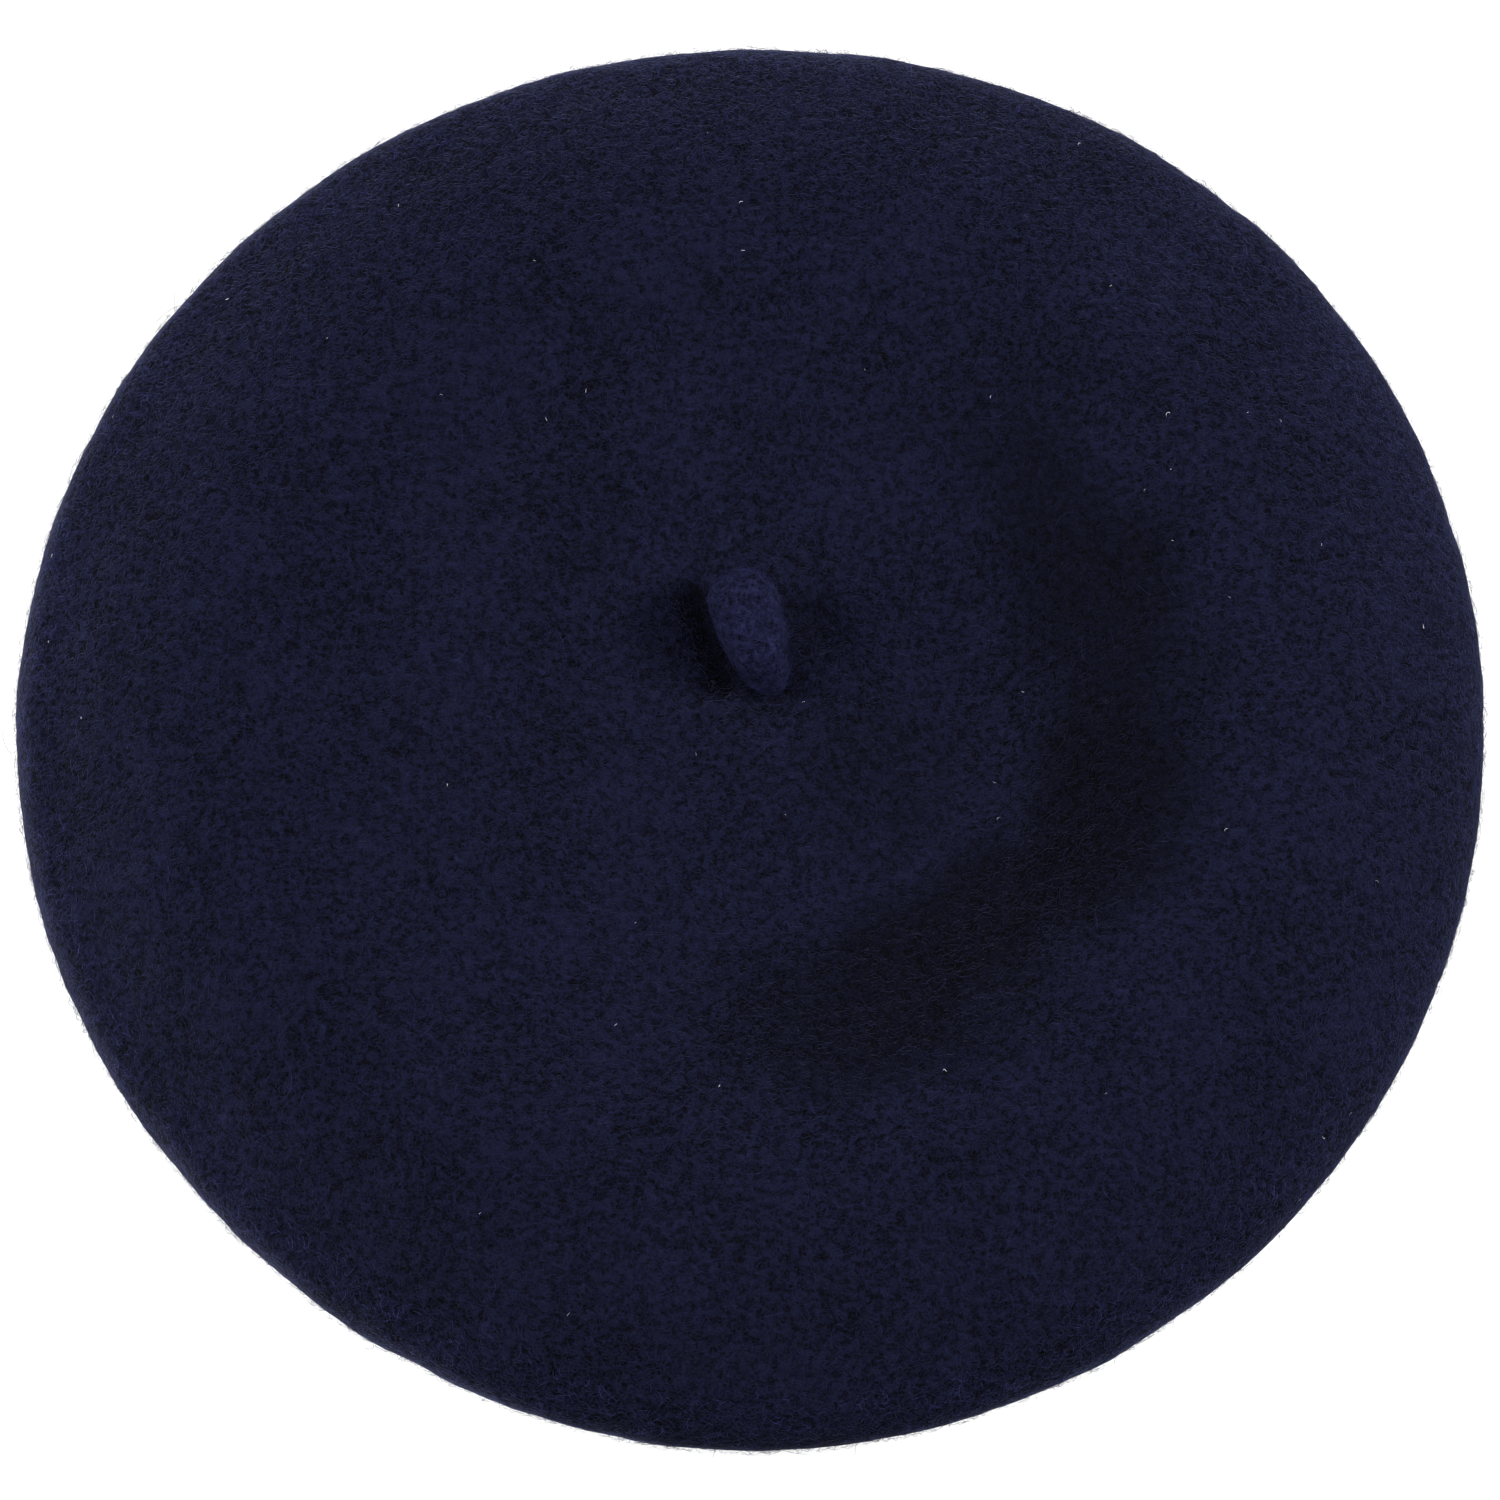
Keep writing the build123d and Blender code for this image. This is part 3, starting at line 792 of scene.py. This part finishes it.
def join_stitches(material):
    """A zigzag of thread that draws the band's two ends together."""
    low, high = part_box("band_join_stitches")
    t = np.linspace(-1, 1, 11)
    count = 6
    rows = np.linspace(low.z + 1.2 * MM, high.z - 1.2 * MM, count)
    paths = []
    for number, height in enumerate(rows):
        slant = 1.25 * MM * (-1) ** number
        x = 2.0 * MM * t
        y = BAND_INNER + 0.25 * MM - 0.5 * MM * (1 - np.abs(t) ** 4)
        paths.append(np.stack([x, np.sqrt(np.clip(y**2 - x**2, 0, None)), height + slant * t], 1))
    stitches("band_join_stitches", paths, np.full((count, 11), THREAD), material, "band_join_stitches")


# ---------------------------------------------------------------- ribbon bow

BOW_LOW, BOW_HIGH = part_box("bow_loops")
BOW = Vector((0, (BOW_LOW.y + BOW_HIGH.y) / 2, (BOW_LOW.z + BOW_HIGH.z) / 2))
RIBBON = 0.55 * MM
LOOP_REACH = 12.2 * MM
LOOP_SWELL = 2.75 * MM
TAIL_LENGTH, TAIL_NOTCH, TAIL_HALF = 13.0, 1.8, 2.45 * MM  # the first two in millimetres
TAIL_ANGLE = math.radians(24)


def ribbon_piece(made, material, node):
    """Finishes a piece of the bow that stands in for a CAD node."""
    made.data.materials.append(material)
    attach(made, "hat")
    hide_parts(node)


def swept_ribbon(path, side, across, width, thickness):
    """Rings of a closed ribbon: side is its face's direction at each point and across its width's."""
    rings = []
    for point, face, size in zip(path, side, width):
        section = rounded_section(size, thickness, 3)
        rings.append(point + np.outer(section[:, 0], across) + np.outer(section[:, 1], face))
    return np.array(rings)


def bow_loops(material):
    """Both loops as one ribbon: a figure of eight that narrows where the knot grips it."""
    s = np.linspace(0, TURN, 121)[:-1]
    x = LOOP_REACH * np.sin(s) * (0.985 + 0.015 * np.cos(2 * s))
    y = LOOP_SWELL * np.sin(2 * s) * (0.35 + 0.65 * np.sin(s) ** 2)
    z = 0.35 * MM * np.sin(s) + 0.2 * MM * np.cos(3 * s)
    path = np.stack([x, BOW.y + y, BOW.z + z], 1)
    apart = 0.32 * MM * np.cos(s) ** 4 * np.sign(np.cos(s))
    path[:, 1] += apart
    along = np.roll(path, -1, 0) - np.roll(path, 1, 0)
    along[:, 2] = 0
    along /= np.linalg.norm(along, axis=1)[:, None]
    side = np.stack([-along[:, 1], along[:, 0], np.zeros(len(s))], 1)
    width = (3.7 + 1.75 * step(np.abs(x), 1.5 * MM, 7 * MM)) * MM
    rings = swept_ribbon(path, side, np.array([0, 0, 1.0]), width, RIBBON)
    ribbon_piece(loft("bow_loops_ribbon", rings, closed=True), material, "bow_loops")


def bow_knot(material):
    """The short ribbon wrapped round the middle of the loops, gathered across its width."""
    low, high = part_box("bow_knot")
    turn = np.arange(64) * TURN / 64
    depth, height = (high.y - low.y) / 2 - RIBBON / 2, (high.z - low.z) / 2 - RIBBON / 2

    def corner(v):
        return np.sign(v) * np.abs(v) ** 0.62

    section = rounded_section(high.x - low.x, RIBBON, 3)
    rings = []
    for angle in turn:
        out = np.array([0, math.cos(angle), math.sin(angle)])
        y, z = depth * corner(math.cos(angle)), height * corner(math.sin(angle))
        point = np.array([0, BOW.y + y, BOW.z + z])
        gather = 0.12 * MM * np.cos(section[:, 0] / (0.62 * MM) * 2.2 + 0.6 * math.sin(2 * angle))
        belly = -0.22 * MM * (section[:, 0] / high.x) ** 2
        rings.append(point + np.outer(section[:, 0], (1, 0, 0)) + np.outer(section[:, 1] + gather + belly, out))
    ribbon_piece(loft("bow_knot_ribbon", np.array(rings), closed=True), material, "bow_knot")


def bow_tails(material):
    """Two ribbon ends with a notch cut into each, hanging behind the knot."""
    low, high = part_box("bow_tails")
    middle_y = (low.y + high.y) / 2
    meshes = []
    for side in (-1, 1):
        across = np.linspace(-1, 1, 17)
        down = np.linspace(0, 1, 29)
        v, u = np.meshgrid(down, across, indexing="ij")
        length = (TAIL_LENGTH - TAIL_NOTCH * (1 - np.abs(u))) * MM
        half = TAIL_HALF * (0.72 + 0.28 * step(v, 0, 0.45))
        x, z = half * u, -length * v
        tilt = side * TAIL_ANGLE
        turned_x = x * math.cos(tilt) - z * math.sin(tilt)
        turned_z = x * math.sin(tilt) + z * math.cos(tilt)
        y = middle_y - side * 0.12 * MM + 0.3 * MM * np.sin(5 * v + side) * v - 0.25 * MM * (u * v) ** 2
        meshes.append(np.stack([turned_x, y, BOW.z + turned_z], -1))
    left = slab("bow_tails_ribbon", meshes[0], RIBBON * 0.7)
    right = slab("bow_tail_right", meshes[1], RIBBON * 0.7)
    join(left, right)
    ribbon_piece(left, material, "bow_tails")


def join(first, second):
    """Adds the second mesh to the first."""
    bpy.ops.object.select_all(action="DESELECT")
    first.select_set(True)
    second.select_set(True)
    bpy.context.view_layer.objects.active = first
    bpy.ops.object.join()


# ---------------------------------------------------------------- labels

MAKER_LABEL_HALF = 23 * MM  # half of its length round the band
CARE_LABEL_HALF = 9 * MM  # half of its width


def maker_label(material, thread):
    """A blank woven label on the band's inner face at the front, sewn down at its two ends."""
    low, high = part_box("maker_label")
    half = MAKER_LABEL_HALF / BAND_INNER
    u, v = np.meshgrid(np.linspace(-1, 1, 81), np.linspace(0, 1, 21), indexing="ij")
    radius = BAND_INNER - 0.2 * MM - 0.18 * MM * (1 - u**2) * (0.6 + 0.4 * np.cos(5 * u + 1))
    height = low.z + 0.1 * MM + (high.z - low.z - 0.2 * MM) * v + 0.12 * MM * np.sin(4 * u)
    label = slab("maker_label_woven", around_z(radius, -math.pi / 2 + half * u, height), 0.3 * MM)
    label.data.materials.append(material)
    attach(label, "hat")
    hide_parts("maker_label")
    t = np.linspace(-1, 1, 7)
    paths = []
    for side in (-1, 1):
        for number in range(5):
            centre = low.z + (number + 0.5) * (high.z - low.z) / 5
            turn = -math.pi / 2 + side * (half - math.radians(1)) + 0.002 * math.sin(7 * number + side)
            radius = BAND_INNER - 0.05 * MM - 0.45 * MM * (1 - np.abs(t) ** 4)
            paths.append(around_z(radius, turn, centre + 0.85 * MM * t))
    stitches("label_stitches", paths, np.full((10, 7), 0.22 * MM), thread, "label_stitches")


def care_label(material):
    """A blank care label of satin tape, folded double at its top and held in the band's lower seam."""
    low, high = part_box("care_label")
    hinge = Vector(JOINTS["care_label_fold"]["pos_m"])
    azimuth = math.atan2(hinge.y, hinge.x)
    out = np.array([math.cos(azimuth), math.sin(azimuth), 0])
    wide = np.array([-math.sin(azimuth), math.cos(azimuth), 0])
    radius = math.hypot(hinge.x, hinge.y)
    gap = 0.14 * MM
    top = high.z - 0.3 * MM
    up = np.linspace(2.4 * MM, top, 30)
    spread = gap * (1 + 0.9 * np.sin((up - low.z) / (high.z - low.z) * math.pi))
    lean = (BAND_INNER + 0.2 * MM - radius) * (1 - step(up, 2.2 * MM, 5.2 * MM)) ** 2
    outer = np.stack([lean + spread, up], 1)
    inner = np.stack([lean - spread, up], 1)
    turn = np.linspace(0, math.pi, 9)[1:-1]
    fold = np.stack([gap * np.cos(turn), top + gap * np.sin(turn)], 1)
    line = np.concatenate([outer, fold, inner[::-1]])
    u = np.linspace(-1, 1, 25)
    curl = 0.12 * MM * u**2
    middle = np.array([
        out * (radius + x + curl_here * step(z, 4 * MM, high.z)) + wide * (CARE_LABEL_HALF * across) + (0, 0, z)
        for x, z in line for across, curl_here in zip(u, curl)
    ]).reshape(len(line), len(u), 3)
    label = slab("care_label_tape", middle, 0.16 * MM)
    label.data.materials.append(material)
    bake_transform(label)
    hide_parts("care_label")


# ---------------------------------------------------------------- stalk thread

def stalk_thread(material):
    """Turns of thread over the stalk's root, and the knot that holds them under the crown."""
    rng = np.random.default_rng(31)
    t = np.linspace(0, 1, 15)
    paths, radii = [], []
    for place in (0.5 * MM, 1.2 * MM):
        angle = math.pi * (t * 1.24 - 0.12)
        size = stalk_radius(place) - 0.1 * MM
        over = np.outer(np.cos(angle), THREAD_AXIS) + np.outer(np.sin(angle), STALK_UP)
        path = stalk_middle(place) + size * over
        path[:, 2] -= 0.9 * MM * np.abs(2 * t - 1) ** 3
        path += 0.06 * MM * rng.normal(size=3)
        paths.append(path)
        radii.append(np.full(15, 0.16 * MM))
    made = tubes("stalk_thread_turns", paths, radii, 8)
    s = np.linspace(0, TURN, 97)
    crown = shape_felt(np.full(1, math.hypot(ROOT.x, ROOT.y)), np.full(1, CROWN_HEIGHT),
                       np.full(1, math.atan2(ROOT.y, ROOT.x)))[0]
    centre = np.array([ROOT.x, ROOT.y, crown[2] - FELT - 0.6 * MM])
    along = np.array(THREAD_AXIS)
    beside = np.array(LEAN)
    path = centre + np.outer(0.75 * MM * np.sin(2 * s) + 1.3 * MM * np.cos(s), along)
    path += np.outer(0.7 * MM * np.sin(3 * s), beside) + np.outer(0.45 * MM * np.cos(3 * s), (0, 0, 1))
    knot = tubes("stalk_thread_knot", [path[:-1]], [np.full(96, 0.26 * MM)], 8)
    legs = []
    for side in (-1, 1):
        start = centre + along * side * 1.2 * MM
        finish = np.array(ROOT) + along * side * 2.2 * MM + (0, 0, -3.6 * MM)
        u = np.linspace(0, 1, 9)[:, None]
        legs.append(start * (1 - u) + finish * u + np.array([0, 0, -0.3 * MM]) * np.sin(math.pi * u))
    legs = tubes("stalk_thread_legs", legs, np.full((2, 9), 0.24 * MM), 8)
    join(made, knot)
    join(made, legs)
    made.data.materials.append(material)
    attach(made, "hat")
    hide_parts("stalk_thread")


# ---------------------------------------------------------------- stage, lights and camera

def floor():
    """A plain white table top, a hair below the beret. Only its upper side shows."""
    n = Nodes("white_table")
    n.finish((0.15, 0.15, 0.15, 1), 0.9, None, 0.0)
    n.shader.inputs["Emission Color"].default_value = (1, 1, 1, 1)
    n.shader.inputs["Emission Strength"].default_value = 0.95
    clear = n.add("ShaderNodeBsdfTransparent")
    sides = n.add("ShaderNodeMixShader")
    n.link(n.add("ShaderNodeNewGeometry").outputs["Backfacing"], sides.inputs[0])
    n.link(n.shader.outputs[0], sides.inputs[1])
    n.link(clear.outputs[0], sides.inputs[2])
    n.link(sides.outputs[0], n.tree.nodes["Material Output"].inputs["Surface"])
    size, low = 4.0, -0.3 * MM
    corners = [(-size, -size, low), (size, -size, low), (size, size, low), (-size, size, low)]
    made = mesh_object("table_top", corners, [(0, 1, 2, 3)])
    made.data.materials.append(n.material)
    made.visible_diffuse = made.visible_shadow = False


def softbox(name, azimuth, elevation, distance, size, power):
    """A square soft light that faces the beret."""
    light = bpy.data.lights.new(name, "AREA")
    light.size, light.energy = size, power
    made = bpy.data.objects.new(name, light)
    bpy.context.scene.collection.objects.link(made)
    a, e = math.radians(azimuth), math.radians(elevation)
    back = Vector((math.cos(a) * math.cos(e), math.sin(a) * math.cos(e), math.sin(e)))
    made.location = back * distance
    made.rotation_mode = "QUATERNION"
    made.rotation_quaternion = back.to_track_quat("Z", "Y")


# Name, azimuth and elevation in degrees, distance and size in metres, power in watts. The table
# doesn't block light from below: the three low ones brighten the rim, and the last one the underside.
LIGHTS = (
    ("key", 6, 36, 1.2, 0.35, 20),
    ("left", 178, 28, 1.4, 0.8, 25),
    ("top", 95, 86, 1.5, 0.9, 13.4),
    ("low_right", 0, -12, 1.4, 0.7, 8),
    ("low_left", 178, -16, 1.4, 0.7, 56),
    ("low_back", 100, -18, 1.4, 0.7, 12),
    ("below", 0, -90, 1.5, 1.2, 12),
)
SKY = 0.29


def lights():
    """A pale studio round the beret, with softboxes."""
    scene = bpy.context.scene
    scene.view_settings.view_transform = "Standard"
    scene.world = bpy.data.worlds.new("studio")
    scene.world.use_nodes = True
    background = scene.world.node_tree.nodes["Background"]
    background.inputs[0].default_value = (1, 1, 1, 1)
    background.inputs[1].default_value = SKY
    for light in LIGHTS:
        softbox(*light)


CAMERA_ELEVATION = math.radians(75)
LENS, SENSOR = 200.0, 36.0
FRAME_OVER_BERET = 1500 / 1468  # the frame's width over the beret's
CAMERA_TARGET = Vector((-0.2 * MM, -3.8 * MM, RIM_HEIGHT))


def camera():
    """Above the beret and a little towards its front, with a long lens."""
    distance = LENS * 2 * OUTER * FRAME_OVER_BERET / SENSOR
    data = bpy.data.cameras.new("camera")
    data.lens, data.sensor_width = LENS, SENSOR
    made = bpy.data.objects.new("camera", data)
    bpy.context.scene.collection.objects.link(made)
    back = Vector((0, -math.cos(CAMERA_ELEVATION), math.sin(CAMERA_ELEVATION)))
    made.location = CAMERA_TARGET + back * distance
    made.rotation_mode = "QUATERNION"
    made.rotation_quaternion = back.to_track_quat("Z", "Y")
    bpy.context.scene.camera = made


# ---------------------------------------------------------------- build

camera()
lights()
floor()

navy_felt = felt_material("navy_felt", dark=(0.0002, 0.0002, 0.0006, 1), light=(0.0059, 0.0067, 0.0208, 1),
                          hair=(0.012, 0.014, 0.044, 1), sheen=0.14, painted_shade=True)
# a lighter copy of the crown's felt without its sheen: painted light on the stalk
stalk_felt_painted_lighter = felt_material("stalk_felt_painted_lighter", dark=(0.0004, 0.0004, 0.0012, 1), light=(0.0128, 0.0143, 0.0450, 1),
                           hair=(0.025, 0.028, 0.088, 1), sheen=0.0)
loose = hair_material("loose_wool", (0.0068, 0.0078, 0.0240, 1), (0.0138, 0.0158, 0.0470, 1), painted_shade=True)
# a lighter copy of the loose wool: painted light for the stalk's hairs, which the crown's long hairs take too
stalk_wool_painted_lighter = hair_material("stalk_wool_painted_lighter", (0.008, 0.009, 0.0285, 1), (0.020, 0.0224, 0.0705, 1))
# the rim's fuzz is real; its lighter wool is a painted highlight along the rim
rim_highlight_wool = hair_material("rim_wool_painted_highlight", (0.017, 0.019, 0.060, 1), (0.036, 0.040, 0.127, 1))
lint = hair_material("pale_lint", (0.22, 0.23, 0.26, 1), (0.45, 0.46, 0.5, 1))
leather = leather_material("sweatband_leather")
sewing = thread_material("sewing_thread", (0.010, 0.008, 0.007, 1), (0.035, 0.028, 0.024, 1))
navy_thread = hair_material("felt_thread", (0.002, 0.0023, 0.007, 1), (0.006, 0.0068, 0.020, 1))
ribbon = woven_material("bow_ribbon", (0.004, 0.004, 0.006, 1), (0.018, 0.018, 0.024, 1), 0.45 * MM, "X")
woven = woven_material("woven_label", (0.42, 0.40, 0.36, 1), (0.60, 0.58, 0.53, 1), 0.35 * MM, "Z", 0.6)
satin = woven_material("care_tape", (0.55, 0.54, 0.52, 1), (0.70, 0.69, 0.67, 1), 0.25 * MM, "Z", 0.45)
elastic = woven_material("elastic_web", (0.30, 0.29, 0.27, 1), (0.50, 0.49, 0.46, 1), 0.8 * MM, "Z")

felt_body(navy_felt)
stalk_mesh(stalk_felt_painted_lighter)
loose_wool(loose, rim_highlight_wool, stalk_wool_painted_lighter, lint)
sweatband(leather)
seam("hem_stitches", 2.4 * MM, 51, sewing)
seam("channel_stitches", 10 * MM, 52, sewing)
join_stitches(sewing)
bow_loops(ribbon)
bow_knot(ribbon)
bow_tails(ribbon)
maker_label(woven, sewing)
care_label(satin)
stalk_thread(navy_thread)
elastic_node = frame["nodes"]["elastic_band"]
elastic_node.data.materials.clear()
elastic_node.data.materials.append(elastic)
